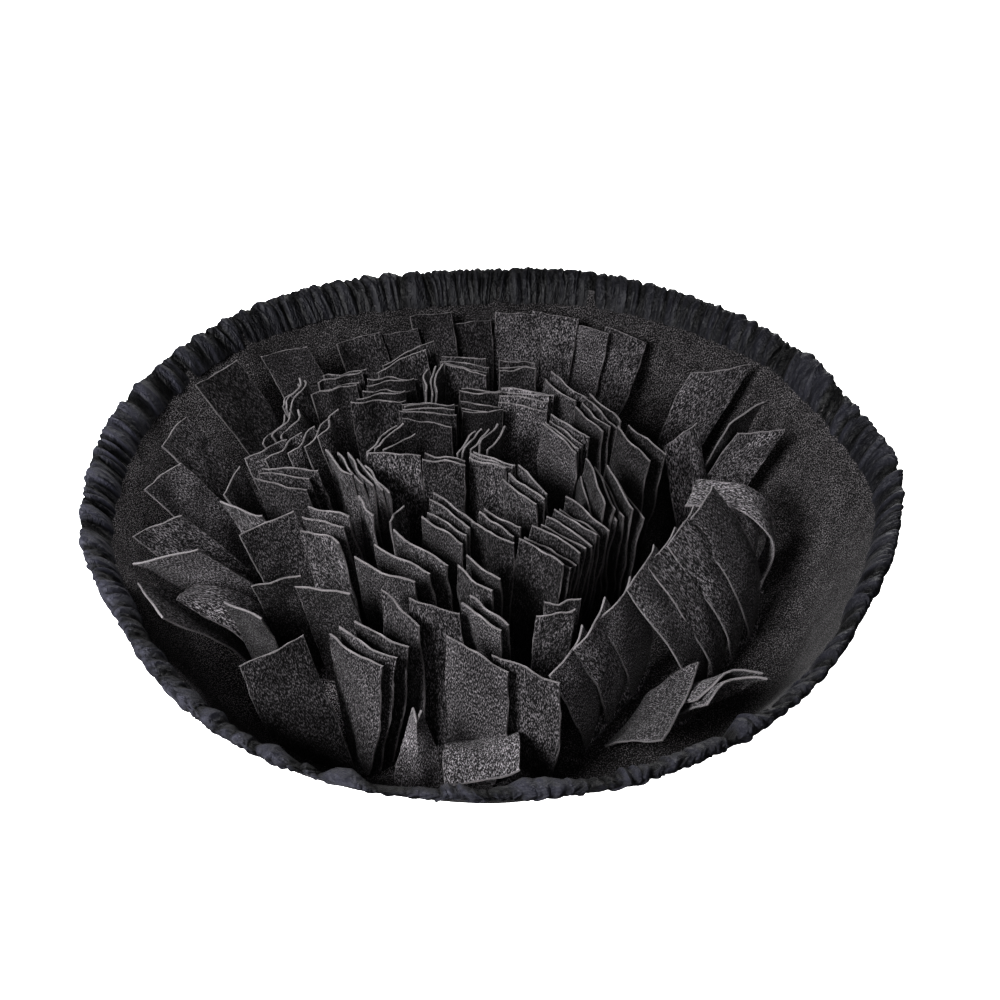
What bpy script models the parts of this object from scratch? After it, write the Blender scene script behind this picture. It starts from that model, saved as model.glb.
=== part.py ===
"""Snuffle mat: a felt disc gathered into a shallow bowl, filled with rows of sewn felt flaps.

Run with Blender 4.5:  blender --background --python part.py
World units are metres, +Z up, floor at z = 0 and the mat centred on the Z axis; sizes below are in mm.
"""

import math

import bmesh
import bpy
import numpy as np

MM = 0.001

# ---- driving dimensions (mm) ------------------------------------------------------------------
BASE_FELT = 3.0            # thickness of the felt disc
BEND_LENGTH = 34.0         # felt taken up by the bend between floor and wall, along the profile
RIM_INSET = 4.0            # the wall's edge stops this far below the casing's centre line
WALL_WAVE = 1.6            # height of the soft waves that the elastic draws into the wall
WALL_WAVES = 13            # waves round the wall
WAVE_START = 0.3           # share of the profile below which the felt has no waves
WAVE_GAIN = 6.0            # brings the waves' rise and fade along the profile to about 1 at most
AROUND = 72                # wall facets round the mat
WALL_ROWS = 7              # wall facets from floor to rim

SEAM_GAP = 0.3             # between pieces that are sewn together

CASING_THICK = 9.6         # puffed thickness of the gathered casing
CASING_LIP = 1.5           # the slot's lip is set back this far from the casing's round edge
LIP_FLARE = 0.9            # the lip opens this much on each side of the felt
LIP_DEPTH = 0.8            # over this depth
CASING_ROUND = (128, 90, 52, 18, -18, -52, -90, -128)      # corners of the casing's section (deg)
CASING_STEPS = 144         # rings along the casing
CASING_PUFFS = 66          # gathers round the rim
PUFF_HEIGHT = 1.5          # how far a gather stands out
PUFF_DRIFT = 1.4           # gathers crowd and spread by this much of a turn (rad)
PUFF_CROWDS = 5            # crowded stretches round the rim
SLOW_PUFFS = 31            # broader swellings round the rim
SLOW_HEIGHT = 0.5          # and their height

FLAP_FELT = 2.0            # thickness of the flap felt
FLAP_LENGTH = 76.0         # cut length above the strip
FLAP_WIDTH = 35.0          # cut width
ROOT_WIDTH = 24.0          # a flap is pinched to this width where it is sewn
STRIP_FELT = 2.0           # thickness of the strip that the flaps are sewn to
STRIP_MARGIN = 3.0         # strip beyond its first and last flap
FLAP_AIR = 1.0             # least air left between neighbouring flaps
WALL_AIR = 2.2             # least air left between a flap and the wall
LEVELS = 4                 # sections up a flap, root and tip included
WIDTH_GAIN = 2.2           # a flap reaches its full width at 1 / WIDTH_GAIN of its height

SETTLE_ROUNDS = 200        # rounds of pushing crowded flaps apart
FREE_ROUNDS = 60           # last rounds, in which no flap is drawn back to its own place
DRAW_BACK = 0.02           # share of its drift that a section gives up in each earlier round
SOFT_PUSH = 0.7            # share of each push that is taken up in one round
FOLLOW_INNER = 0.3         # how much a middle section follows its two neighbours up the flap
FOLLOW_END = 0.1           # how much a root or tip section follows its neighbour
REACH = 85.0               # sections further apart than this never touch
TIP_REACH = 3.0            # a section this far above a flap's tip is clear of it
FLOOR_LEVEL = 8.0          # below this height a flap keeps to the flat floor

# ---- rim ----------------------------------------------------------------------------------------
# azimuth (deg), radius where the flat floor ends, casing centre line radius and height, casing width
RIM = (
    (0, 172, 234, 74, 25), (15, 168, 228, 75, 26), (30, 166, 231, 76, 25), (45, 165, 232, 76, 23),
    (60, 164, 235, 75, 22), (75, 163, 237, 74, 22), (90, 160, 229, 75, 22), (105, 162, 233, 74, 22),
    (120, 165, 242, 74, 23), (135, 166, 243, 74, 24), (150, 165, 239, 74, 25), (165, 165, 236, 74, 26),
    (180, 165, 232, 74, 27), (195, 166, 231, 73, 26), (210, 170, 227, 74, 25), (225, 173, 231, 73, 24),
    (240, 171, 237, 72, 22), (255, 166, 239, 72, 21), (270, 165, 237, 72, 21), (285, 164, 236, 72, 21),
    (300, 171, 234, 73, 22), (315, 174, 230, 74, 23), (330, 175, 225, 75, 24), (345, 174, 228, 75, 25),
)

# ---- rows of flaps ------------------------------------------------------------------------------
# name: the row's node; n: flaps in it; x0, y0 to x1, y1: middle of the first and last flap's top edge;
# turn0, turn1: direction of those top edges (deg from +X); lean_x, lean_y, out: how far the tops stand
# off from the roots along X, along Y and away from the middle; bow: 0 for a straight flap, 1 for one
# that rises steeply and bends over near its top; belly: how far a flap bulges away from the mat's middle
# half way up; twist: how far the root is turned from the top edge; cut: flap length as a share of
# FLAP_LENGTH; wide: flap width as a share of FLAP_WIDTH.
ROW_COLUMNS = ("name", "n", "x0", "y0", "x1", "y1", "turn0", "turn1", "lean_x", "lean_y", "out", "bow",
               "belly", "twist", "cut", "wide")
ROWS = (
    # on the wall
    ("wall_back_right", 4, 96, 190, 18, 212, -34, -14, 0, 0, 57, 0.0, 0, -22, 1.08, 0.95),
    ("wall_back_left", 4, -19, 212, -99, 187, -10, 22, 0, 0, 56, 0.0, 0, -22, 1.08, 0.9),
    ("wall_left_back", 2, -146, 146, -186, 112, 16, 226, 0, 0, 56, 0.4, 0, 0, 1.2, 1.0),
    ("wall_left", 3, -212, 52, -192, -44, 72, 24, 0, 0, 47, 0.1, 0, 0, 1.12, 0.95),
    ("wall_left_front", 2, -187, -66, -186, -104, 12, -50, 0, 0, 47, 0.2, 0, 0, 1.1, 1.1),
    ("wall_right", 2, 174, 64, 165, 80, 9, 40, 0, 0, 32, 0.2, 0, 0, 0.9, 0.95),
    ("wall_right_back", 1, 155, 124, 155, 124, 12, 12, 0, 0, 46, 0.1, 0, 0, 1.1, 1.1),
    ("front_lying", 1, -4, -211, -4, -211, 10, 10, 0, 0, 53, 0.5, 0, 0, 0.95, 1.2),
    ("front_bright_edge", 1, -38, -180, -38, -180, 6, 6, 0, -26, 0, 0.2, 0, 0, 0.9, 0.9),
    ("front_right_lying", 1, 103, -170, 103, -170, -98, -98, 30, -23, 0, 0.4, 0, 0, 0.85, 1.1),
    ("front_right_loops", 2, 125, -156, 127, -161, 26, 26, 25, -29, 0, 0.3, 0, 0, 0.9, 1.1),
    # back left, pages facing the middle
    ("back_left_inner", 5, -74, 74, -68, 103, 12, 4, -5, 16, 0, 0.6, 0, 0, 1.0, 0.92),
    ("back_left_outer", 4, -104, 89, -101, 111, 6, 18, -12, 18, 0, 0.6, 0, 0, 1.0, 0.85),
    ("back_left_far", 2, -62, 126, -59, 137, 26, 34, -8, 22, 0, 0.6, 0, 0, 1.0, 1.1),
    ("back_left_edge", 3, -44, 98, -36, 100, 92, 82, 0, 14, 0, 0.6, 0, 0, 1.0, 0.85),
    ("left_back_upper", 3, -133, 89, -124, 86, -107, -102, -22, 10, 0, 0.6, 0, 0, 1.0, 0.9),
    ("left_back_lower", 3, -138, 51, -127, 54, -110, -106, -22, 6, 0, 0.6, 0, 0, 1.0, 0.9),
    ("left_back_curve", 5, -138, 21, -105, 54, 44, 74, -16, 6, 0, 0.6, 0, 0, 1.0, 0.9),
    # back
    ("back_stack", 4, -18, 111, -20, 128, -28, -16, 0, 20, 0, 0.6, 0, 0, 1.0, 0.95),
    ("back_pages", 5, -7, 66, -8, 90, -6, -8, 2, 14, 0, 0.6, 0, 0, 1.0, 0.75),
    ("back_mid_left", 5, -42, 55, -40, 75, -8, 0, -2, 16, 0, 0.6, 0, 0, 1.0, 0.98),
    ("back_hooks", 3, -74, 44, -62, 38, 54, 46, -8, 12, 0, 0.6, 0, 0, 1.0, 0.85),
    ("back_small", 3, 16, 113, 16, 127, 5, 8, 2, 20, 0, 0.6, 0, 0, 1.0, 0.7),
    # back right
    ("bright_stack", 4, 18, 73, 22, 87, -17, -14, 0, 14, 0, 0.6, 0, 0, 1.0, 0.95),
    ("right_back_long", 2, 44, 90, 50, 97, -56, -54, 4, 14, 0, 0.6, 0, 0, 1.0, 1.0),
    ("right_back_fan", 4, 61, 56, 71, 67, -62, -58, 4, 10, 0, 0.6, 0, 0, 1.0, 1.0),
    ("right_mid_stack", 4, 41, 35, 48, 46, -53, -52, 2, 6, 0, 0.6, 0, 0, 1.0, 1.0),
    ("leaf_pages", 7, 59, -12, 79, -14, -84, -68, 2, 6, 0, 0.6, 0, 0, 1.0, 1.3),
    ("right_edge_pair", 2, 86, 27, 95, 35, -63, -60, 6, 6, 0, 0.6, 0, 0, 1.0, 1.1),
    ("right_lying", 1, 122, 66, 122, 66, 43, 43, -8, 42, 0, 0.5, 0, 0, 0.9, 1.0),
    ("right_arch", 2, 151, 4, 140, 0, -98, -106, -15, 16, 0, 0.9, 8, 0, 1.1, 0.85),
    # middle
    ("mid_fins", 5, -17, 31, 2, 36, 64, 68, 2, 6, 0, 0.6, 0, 0, 1.0, 0.7),
    ("core_left", 2, -30, 9, -29, 14, -18, -18, 0, 4, 0, 0.6, 0, 0, 1.0, 0.75),
    ("core_mid", 3, -2, 5, 2, 12, -32, -32, 0, 4, 0, 0.6, 0, 0, 1.0, 0.8),
    ("core_right", 3, 15, -15, 21, -5, -52, -50, 0, 3, 0, 0.6, 0, 0, 1.0, 0.85),
    ("core_steps", 4, -28, -54, -22, -32, -46, -46, 0, 4, 0, 0.6, 0, 0, 1.0, 1.0),
    ("core_fold", 3, 0, -55, 6, -42, -38, -42, 2, 2, 0, 0.6, 0, 0, 1.0, 0.85),
    ("core_curve", 9, 26, -76, 54, -38, -40, -50, 4, 0, 0, 0.6, 0, 0, 1.0, 1.0),
    ("core_tail", 2, -9, -95, -5, -86, -48, -46, 0, 0, 0, 0.6, 0, 0, 1.0, 0.8),
    ("core_low", 2, 34, -122, 38, -112, 3, 10, 4, 4, 0, 0.6, 0, 0, 1.0, 0.6),
    # left
    ("left_slope", 5, -70, -8, -92, 10, -60, -48, -6, 8, 0, 0.6, 0, 0, 1.0, 0.9),
    ("left_peak", 1, -60, 19, -60, 19, 0, 0, -2, 10, 0, 0.6, 0, 0, 1.0, 0.9),
    ("left_flat", 3, -132, -9, -122, 4, -3, -4, -14, 12, 0, 0.6, 0, 0, 1.0, 0.95),
    ("left_low", 2, -149, -29, -160, 0, 3, 50, -22, 8, 0, 0.6, 0, 0, 1.0, 0.8),
    ("left_slant", 1, -130, -46, -130, -46, 34, 34, -16, 4, 0, 0.6, 0, 0, 1.0, 1.0),
    ("left_arc", 3, -98, -58, -95, -38, -30, -26, -10, 4, 0, 0.6, 0, 0, 1.0, 0.85),
    ("left_v_inner", 2, -74, -33, -56, -36, -62, -108, -4, 4, 0, 0.6, 0, 0, 1.0, 0.6),
    ("left_fold", 1, -166, -84, -166, -84, -104, -104, -40, -4, 0, 0.4, 0, 0, 1.0, 0.9),
    ("left_dark", 2, -119, -94, -135, -118, 26, -28, -12, -8, 0, 0.6, 0, 0, 1.0, 0.85),
    ("left_front_face", 1, -92, -102, -92, -102, -8, -8, -8, -6, 0, 0.6, 0, 0, 1.0, 0.85),
    ("big_left", 3, -59, -88, -41, -68, -30, -41, -4, -2, 0, 0.6, 0, 0, 1.0, 1.15),
    # front
    ("front_left", 1, -118, -151.5, -118, -151.5, 43, 43, -13, -18, 0, 0.6, 8, -35, 1.0, 1.05),
    ("front_slope", 3, -71.5, -150, -58, -137, -60, -58, 8, -11, 0, 0.6, 0, 0, 1.0, 1.1),
    ("front_bright", 2, -49, -116, -31, -116, -48, -14, -2, 0, 0, 0.6, 0, 0, 1.0, 0.9),
    ("front_step", 2, -6, -124, -1, -117, -42, -42, 0, 0, 0, 0.6, 0, 0, 1.0, 0.85),
    ("front_face", 2, -8, -152, 20, -158, -38, -34, 0, -8, 0, 0.6, 4, 0, 1.0, 1.15),
    # right front ring, shingled and bowed inward
    ("ring_front", 3, 36, -148, 66, -107, 66, 63, -18, -6, 0, 0.7, 4, 4, 1.0, 1.2),
    ("ring_right", 4, 81, -86, 119, -30, 64, 64, -38, 24, 0, 0.7, 4, 6, 1.15, 1.2),
)

# ---- small helpers ------------------------------------------------------------------------------


def smooth_ring(rows, column, azimuth):
    """Value of a column of a table given every few degrees round a full turn, joined smoothly."""
    step = 360.0 / len(rows)
    place = (azimuth % 360.0) / step
    i, t = int(place) % len(rows), place - int(place)
    p0, p1, p2, p3 = (rows[(i + k - 1) % len(rows)][column] for k in range(4))
    return 0.5 * (2 * p1 + (p2 - p0) * t + (2 * p0 - 5 * p1 + 4 * p2 - p3) * t * t
                  + (3 * p1 - p0 - 3 * p2 + p3) * t ** 3)


def cloth_material(name, shade, roughness):
    material = bpy.data.materials.new(name)
    material.use_nodes = True
    shader = material.node_tree.nodes["Principled BSDF"]
    shader.inputs["Base Color"].default_value = (*shade, 1.0)
    shader.inputs["Roughness"].default_value = roughness
    shader.inputs["Metallic"].default_value = 0.0
    return material


def add_solid(name, points, faces, material):
    """A named object from points in mm and faces; normals are turned outward."""
    mesh = bpy.data.meshes.new(name)
    mesh.from_pydata([tuple(c * MM for c in p) for p in points], [], faces)
    shape = bmesh.new()
    shape.from_mesh(mesh)
    bmesh.ops.triangulate(shape, faces=shape.faces[:])
    bmesh.ops.recalc_face_normals(shape, faces=shape.faces[:])
    shape.to_mesh(mesh)
    shape.free()
    mesh.materials.append(material)
    solid = bpy.data.objects.new(name, mesh)
    bpy.context.collection.objects.link(solid)
    return solid


# ---- the wall's profile -------------------------------------------------------------------------


def wall_point(azimuth, share):
    """Middle of the felt (r, z) and its inward normal (nr, nz), at a share of the way up to the edge."""
    floor, radius, height = (smooth_ring(RIM, c, azimuth) for c in (1, 2, 3))
    mid = BASE_FELT / 2
    slant = math.atan2(height - mid, radius - floor - BEND_LENGTH / 2)
    run = math.hypot(height - mid, radius - floor - BEND_LENGTH / 2)
    straight = run - BEND_LENGTH / 2 - RIM_INSET
    bend_radius = BEND_LENGTH / slant
    total = BEND_LENGTH + straight
    along = share * total
    if along < BEND_LENGTH:
        angle = along / bend_radius
        r = floor + bend_radius * math.sin(angle)
        z = mid + bend_radius * (1 - math.cos(angle))
    else:
        angle = slant
        r = floor + bend_radius * math.sin(slant) + (along - BEND_LENGTH) * math.cos(slant)
        z = mid + bend_radius * (1 - math.cos(slant)) + (along - BEND_LENGTH) * math.sin(slant)
    swell = WAVE_GAIN * max(0.0, share - WAVE_START) ** 1.5 * (1 - share)
    wave = WALL_WAVE * math.sin(math.radians(azimuth * WALL_WAVES)) * swell
    nr, nz = -math.sin(angle), math.cos(angle)
    return r + wave * nr, z + wave * nz, nr, nz


def on_ring(azimuth, r, z):
    a = math.radians(azimuth)
    return r * math.cos(a), r * math.sin(a), z


def make_base(material):
    """The felt disc: flat floor, bend and wall, one closed sheet."""
    points, faces = [(0, 0, BASE_FELT), (0, 0, 0)], []
    for side in (1, -1):                       # inner face, then outer face
        for j in range(WALL_ROWS + 1):
            for i in range(AROUND):
                azimuth = 360.0 * i / AROUND
                r, z, nr, nz = wall_point(azimuth, j / WALL_ROWS)
                half = side * BASE_FELT / 2
                points.append(on_ring(azimuth, r + nr * half, z + nz * half))

    def at(side, j, i):
        return 2 + side * (WALL_ROWS + 1) * AROUND + j * AROUND + i % AROUND

    for i in range(AROUND):
        faces.append((0, at(0, 0, i), at(0, 0, i + 1)))
        faces.append((1, at(1, 0, i + 1), at(1, 0, i)))
        for j in range(WALL_ROWS):
            faces.append((at(0, j, i), at(0, j + 1, i), at(0, j + 1, i + 1), at(0, j, i + 1)))
            faces.append((at(1, j, i + 1), at(1, j + 1, i + 1), at(1, j + 1, i), at(1, j, i)))
        edge = (at(0, WALL_ROWS, i), at(1, WALL_ROWS, i), at(1, WALL_ROWS, i + 1), at(0, WALL_ROWS, i + 1))
        faces.append(edge)
    return add_solid("base_felt", points, faces, material)


# ---- the gathered casing ------------------------------------------------------------------------


def casing_section(width, puff):
    """Closed section of the casing: (along the wall, across it), starting at the slot's inner lip."""
    slot = BASE_FELT / 2 + SEAM_GAP
    half, thick = width / 2, CASING_THICK / 2 + puff
    lip = CASING_LIP - half
    bottom = SEAM_GAP - RIM_INSET
    section = [(lip, slot + LIP_FLARE)]
    for degrees in CASING_ROUND:
        a = math.radians(degrees)
        section.append((half * math.cos(a), thick * math.sin(a)))
    section += [(lip, -slot - LIP_FLARE), (lip + LIP_DEPTH, -slot), (bottom, -slot)]
    section += [(bottom, slot), (lip + LIP_DEPTH, slot)]
    return section


def make_casing(material):
    """The elastic casing: one gathered tube round the rim, with a slot for the felt's edge."""
    points, faces = [], []
    count = len(casing_section(1.0, 0.0))
    for k in range(CASING_STEPS):
        azimuth = 360.0 * k / CASING_STEPS
        width = smooth_ring(RIM, 4, azimuth)
        drift = PUFF_DRIFT * math.sin(math.radians(azimuth * PUFF_CROWDS))
        puff = PUFF_HEIGHT * math.sin(CASING_PUFFS * math.radians(azimuth) + drift)
        puff += SLOW_HEIGHT * math.sin(math.radians(azimuth * SLOW_PUFFS))
        # the slot follows the felt's facets, so it is read off the facet that this ring lies on
        first = int(azimuth * AROUND / 360.0 + 1e-6) * 360.0 / AROUND
        share = (azimuth - first) / (360.0 / AROUND)
        ends = []
        for a in (first, first + 360.0 / AROUND):
            r, z, nr, nz = wall_point(a, 1.0)
            r2, z2, _, _ = wall_point(a, 1 - 1 / WALL_ROWS)
            up_r, up_z = (r - r2), (z - z2)
            size = math.hypot(up_r, up_z)
            up_r, up_z = up_r / size, up_z / size
            ring = []
            for along, across in casing_section(width, puff):
                along += RIM_INSET
                ring.append(on_ring(a, r + up_r * along - up_z * across, z + up_z * along + up_r * across))
            ends.append(ring)
        for p, q in zip(*ends):
            points.append(tuple(u + (v - u) * share for u, v in zip(p, q)))
    for k in range(CASING_STEPS):
        n = (k + 1) % CASING_STEPS
        for m in range(count):
            m2 = (m + 1) % count
            faces.append((k * count + m, k * count + m2, n * count + m2, n * count + m))
    return add_solid("rim_casing", points, faces, material)


# ---- flaps --------------------------------------------------------------------------------------


def lay_out_flaps():
    """Ends A and B of every flap's section at each level, its height and width, and each flap's row."""
    a, b, z, widths, owner = [], [], [], [], []
    strip_top = BASE_FELT + SEAM_GAP + STRIP_FELT
    for index, values in enumerate(ROWS):
        row = dict(zip(ROW_COLUMNS, values))
        for k in range(row["n"]):
            t = k / (row["n"] - 1) if row["n"] > 1 else 0.0
            first, last = np.array((row["x0"], row["y0"])), np.array((row["x1"], row["y1"]))
            tip = first + (last - first) * t
            lean = np.array((row["lean_x"], row["lean_y"])) + row["out"] * tip / np.hypot(*tip)
            root = tip - lean
            turn = row["turn0"] + (row["turn1"] - row["turn0"]) * t
            length = FLAP_LENGTH * row["cut"]
            rise = math.sqrt(length ** 2 - float(lean @ lean))
            width = FLAP_WIDTH * row["wide"]
            ends_a, ends_b, heights, wide = [], [], [], []
            for level in range(LEVELS):
                u = level / (LEVELS - 1)
                centre = root + lean * ((1 - row["bow"]) * u + row["bow"] * u * u)
                centre = centre + row["belly"] * math.sin(math.pi * u) * tip / np.hypot(*tip)
                heading = math.radians(turn + row["twist"] * (1 - u) ** 1.5)
                across = np.array((math.cos(heading), math.sin(heading)))
                root_width = min(ROOT_WIDTH, width)
                w = root_width + (width - root_width) * min(1.0, WIDTH_GAIN * u)
                ends_a.append(centre - across * w / 2)
                ends_b.append(centre + across * w / 2)
                heights.append(strip_top + rise * u)
                wide.append(w)
            a.append(ends_a)
            b.append(ends_b)
            z.append(heights)
            widths.append(wide)
            owner.append(index)
    return np.array(a), np.array(b), np.array(z), np.array(widths), np.array(owner)


def strip_segments(owner):
    """Pairs of neighbouring flaps (k, k + 1) that share a strip."""
    return [(k, k + 1) for k in range(len(owner) - 1) if owner[k] == owner[k + 1]]


def contact_list(a, z, owner):
    """Sections that may touch: each is four point references (flap, level, share to next level, end)."""
    count, levels = z.shape
    contacts = []
    centre = a.mean(axis=1)
    for i in range(count):
        for j in range(count):
            if i == j or np.hypot(*(centre[i] - centre[j])) > REACH:
                continue
            for half in range(2 * levels - 1):
                level, part = half // 2, 0.5 * (half % 2)
                height = z[i, level] + part * (z[i, min(level + 1, levels - 1)] - z[i, level])
                if height > z[j, -1] + TIP_REACH or (half == 0 and j < i):
                    continue
                m = min(int(np.searchsorted(z[j], height, side="right")) - 1, levels - 2)
                f = min(1.0, max(0.0, (height - z[j, m]) / (z[j, m + 1] - z[j, m])))
                contacts.append(((i, level, part, 0), (i, level, part, 1), (j, m, f, 0), (j, m, f, 1)))
    # strips: their long edges keep off the roots of other rows
    edges = [((k, 0, 0.0, end), (n, 0, 0.0, end)) for k, n in strip_segments(owner) for end in (0, 1)]
    edges += [((k, 0, 0.0, 0), (k, 0, 0.0, 1)) for k in range(count)]
    for i, (p0, p1) in enumerate(edges):
        for q0, q1 in edges[:i]:
            if owner[p0[0]] == owner[q0[0]] or np.hypot(*(centre[p0[0]] - centre[q0[0]])) > REACH:
                continue
            contacts.append((p0, p1, q0, q1))
    # two strips need room for their margins, two flaps only for the felt and a little air
    room = [FLAP_FELT + FLAP_AIR + (STRIP_MARGIN if c[0][1] + c[0][2] + c[2][1] + c[2][2] == 0
                                    and owner[c[0][0]] != owner[c[2][0]] else 0.0) for c in contacts]
    return contacts, np.array(room)


def settle(a, b, z, widths, owner):
    """Let the crowded flaps push each other apart, section by section, as stiff felt does."""
    levels = z.shape[1]
    points = np.stack((a, b), axis=2)                       # [flap, level, end, xy]
    goal = points.copy()
    contacts, spacing = contact_list(a, z, owner)
    flap = np.array([[ref[0] for ref in c] for c in contacts])
    low = np.array([[ref[1] for ref in c] for c in contacts])
    share = np.array([[ref[2] for ref in c] for c in contacts])[..., None]
    end = np.array([[ref[3] for ref in c] for c in contacts])
    high = np.minimum(low + 1, levels - 1)
    wall = wall_table()
    for turn in range(SETTLE_ROUNDS):
        spots = points[flap, low, end] * (1 - share) + points[flap, high, end] * share
        p0, p1, q0, q1 = (spots[:, k] for k in range(4))

        def nearest(point, s0, s1):
            line = s1 - s0
            t = np.clip(((point - s0) * line).sum(1) / (line * line).sum(1), 0, 1)
            foot = s0 + line * t[:, None]
            return t, foot, np.hypot(*(foot - point).T)

        tries = [nearest(p0, q0, q1), nearest(p1, q0, q1), nearest(q0, p0, p1), nearest(q1, p0, p1)]
        gaps = np.array([t[2] for t in tries])

        def side(point, s0, s1):
            return np.sign((s1[:, 0] - s0[:, 0]) * (point[:, 1] - s0[:, 1])
                           - (s1[:, 1] - s0[:, 1]) * (point[:, 0] - s0[:, 0]))

        crossing = (side(p0, q0, q1) != side(p1, q0, q1)) & (side(q0, p0, p1) != side(q1, p0, p1))
        pick = gaps.argmin(axis=0)
        gap = gaps.min(axis=0)
        push = np.zeros_like(points)
        hits = np.zeros(points.shape[:3])
        for case in range(4):
            chosen = (pick == case) & (crossing | (gap < spacing))
            if not chosen.any():
                continue
            t, foot, distance = (v[chosen] for v in tries[case])
            tip = (p0, p1, q0, q1)[case][chosen]
            away = (tip - foot) / np.maximum(distance, 1e-6)[:, None]
            room = spacing[chosen]
            need = np.where(crossing[chosen], -(distance + room), room - distance) * 0.5
            move = away * need[:, None]
            other = (2, 3) if case < 2 else (0, 1)
            for column, weight, sign in ((case, np.ones_like(t), 1.0),
                                         (other[0], 1 - t, -1.0), (other[1], t, -1.0)):
                for layer, part in ((low, 1 - share), (high, share)):
                    rows = np.nonzero(chosen)[0]
                    amount = part[rows, column, 0] * weight
                    where = (flap[rows, column], layer[rows, column], end[rows, column])
                    np.add.at(push, where, move * sign * amount[:, None])
                    np.add.at(hits, where, amount)
        points += SOFT_PUSH * push / np.maximum(hits, 1.0)[..., None]
        # stiffness: sections drift back to their goal and follow their neighbours up the flap
        drift = points - goal
        drift *= 1 - (DRAW_BACK if turn < SETTLE_ROUNDS - FREE_ROUNDS else 0.0)
        eased = drift.copy()
        eased[:, 1:-1] += FOLLOW_INNER * ((drift[:, :-2] + drift[:, 2:]) / 2 - drift[:, 1:-1])
        eased[:, 0] += FOLLOW_END * (drift[:, 1] - drift[:, 0])
        eased[:, -1] += FOLLOW_END * (drift[:, -2] - drift[:, -1])
        points = goal + eased
        # each section keeps its width
        middle = points.mean(axis=2, keepdims=True)
        arm = points[:, :, 1] - points[:, :, 0]
        arm *= (widths / np.hypot(arm[..., 0], arm[..., 1]))[..., None] / 2
        points = np.stack((middle[:, :, 0] - arm, middle[:, :, 0] + arm), axis=2)
        # and stays inside the wall
        radius = np.hypot(points[..., 0], points[..., 1])
        azimuth = np.degrees(np.arctan2(points[..., 1], points[..., 0])).astype(int) % 360
        limit = wall[azimuth, np.clip(z - 1.0, 0, 120).astype(int)[..., None]]
        points *= np.minimum(1.0, limit / radius)[..., None]
    return points[:, :, 0], points[:, :, 1]


def wall_table():
    """Largest radius that a flap's edge may reach: by whole degree of azimuth and by whole mm of height."""
    inset = BASE_FELT / 2 + WALL_AIR + FLAP_FELT / 2
    heights = np.arange(0.0, 121.0)
    table = []
    for azimuth in range(0, 360, 3):
        wall = [wall_point(azimuth, share) for share in np.linspace(0, 1, 30)]
        inner_r = [r + nr * inset for r, z, nr, nz in wall]
        inner_z = [z + nz * inset for r, z, nr, nz in wall]
        on_floor = wall[0][0] - STRIP_MARGIN - FLAP_FELT
        table.append(np.where(heights < FLOOR_LEVEL, on_floor, np.interp(heights, inner_z, inner_r)))
    return np.repeat(np.array(table), 3, axis=0)


def section_corners(a, b, side):
    """The two ends of a section, thickened: [end][minus, plus] in plan."""
    along = (b - a) / np.hypot(*(b - a))
    normal = np.array((-along[1], along[0])) * side * FLAP_FELT / 2
    return (a - normal, a + normal), (b - normal, b + normal)


def make_row(name, a, b, z, material):
    """One strip with its flaps as one closed solid; a, b and z are [flap, level]."""
    count = len(a)
    low = BASE_FELT + SEAM_GAP
    if count > 1:
        forward = (a[-1, 0] + b[-1, 0] - a[0, 0] - b[0, 0]) / 2
    else:
        forward = np.array((-(b - a)[0, 0][1], (b - a)[0, 0][0]))
    along = b[0, 0] - a[0, 0]
    side = 1.0 if (-along[1] * forward[0] + along[0] * forward[1]) > 0 else -1.0
    points, faces, chain = [], [], []

    def add(xy, height):
        points.append((float(xy[0]), float(xy[1]), float(height)))
        return len(points) - 1

    def add_pair(pa, pb):
        """A cross line of the strip: top A, top B, bottom A, bottom B."""
        top = z[0, 0]
        chain.append((add(pa, top), add(pb, top), add(pa, low), add(pb, low)))

    roots = []
    for k in range(count):
        (a_minus, a_plus), (b_minus, b_plus) = section_corners(a[k, 0], b[k, 0], side)
        step = (a_plus - a_minus) / FLAP_FELT
        if k == 0:
            add_pair(a_minus - step * STRIP_MARGIN, b_minus - step * STRIP_MARGIN)
        add_pair(a_minus, b_minus)
        add_pair(a_plus, b_plus)
        roots.append(len(chain) - 2)
        if k == count - 1:
            add_pair(a_plus + step * STRIP_MARGIN, b_plus + step * STRIP_MARGIN)
    for m in range(len(chain) - 1):
        p, q = chain[m], chain[m + 1]
        if m not in roots:
            faces.append((p[0], p[1], q[1], q[0]))
        faces.append((p[2], q[2], q[3], p[3]))
        faces.append((p[0], q[0], q[2], p[2]))
        faces.append((p[1], p[3], q[3], q[1]))
    for p in (chain[0], chain[-1]):
        faces.append((p[0], p[1], p[3], p[2]))
    for k, m in enumerate(roots):
        ring = (chain[m][0], chain[m][1], chain[m + 1][1], chain[m + 1][0])
        for level in range(1, a.shape[1]):
            (a_minus, a_plus), (b_minus, b_plus) = section_corners(a[k, level], b[k, level], side)
            height = z[k, level]
            upper = (add(a_minus, height), add(b_minus, height), add(b_plus, height), add(a_plus, height))
            for c in range(4):
                d = (c + 1) % 4
                faces.append((ring[c], ring[d], upper[d], upper[c]))
            ring = upper
        faces.append(ring)
    return add_solid(name, points, faces, material)


# ---- the whole mat ------------------------------------------------------------------------------


def main():
    for old in list(bpy.data.objects):
        bpy.data.objects.remove(old, do_unlink=True)
    make_base(cloth_material("base_felt", (0.032, 0.032, 0.034), 0.95))
    make_casing(cloth_material("casing_nylon", (0.012, 0.013, 0.018), 0.55))
    flap_felt = cloth_material("flap_felt", (0.035, 0.035, 0.037), 0.95)
    a, b, z, widths, owner = lay_out_flaps()
    a, b = settle(a, b, z, widths, owner)
    for index, values in enumerate(ROWS):
        mine = owner == index
        make_row("flaps_" + values[0], a[mine], b[mine], z[mine], flap_felt)


main()
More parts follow.
